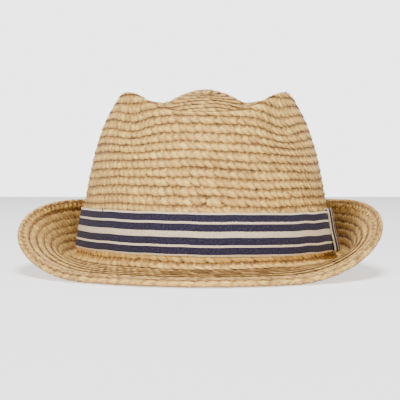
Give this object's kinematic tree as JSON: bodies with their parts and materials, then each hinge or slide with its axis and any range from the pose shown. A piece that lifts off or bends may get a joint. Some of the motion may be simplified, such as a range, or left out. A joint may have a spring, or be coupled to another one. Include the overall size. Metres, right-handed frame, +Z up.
{
  "type": "straw fedora hat",
  "caption": "Natural straw braid fedora with a dented crown, a brim turned up behind, a striped navy and cream ribbon with a keeper, and a cloth sweatband.",
  "frame": {"origin": "middle of the hat's outline in plan, on the surface that it rests on", "axes": "+Z up, the front of the hat faces -Y, and +X is the wearer's left"},
  "size_m": [0.233, 0.2678, 0.1193],
  "materials": {
    "straw": "matt natural raffia braid",
    "ribbon": "woven, heathered navy with cream stripes",
    "sweatband_cloth": "matt ribbed cotton",
    "thread": "matt sewing thread",
    "label": "matt woven tape",
    "wire": "satin"
  },
  "bodies": {
    "root": {"crown_braid": "straw", "brim_braid": "straw", "brim_edge_braid": "straw", "brim_wire": "wire", "brim_wire_sleeve": "wire", "hat_ribbon": "ribbon", "ribbon_keeper": "ribbon", "ribbon_tack_1": "thread", "ribbon_tack_2": "thread", "ribbon_tack_3": "thread", "sweatband": "sweatband_cloth", "sweatband_stitching": "thread", "size_label": "label"}
  },
  "joints": []
}
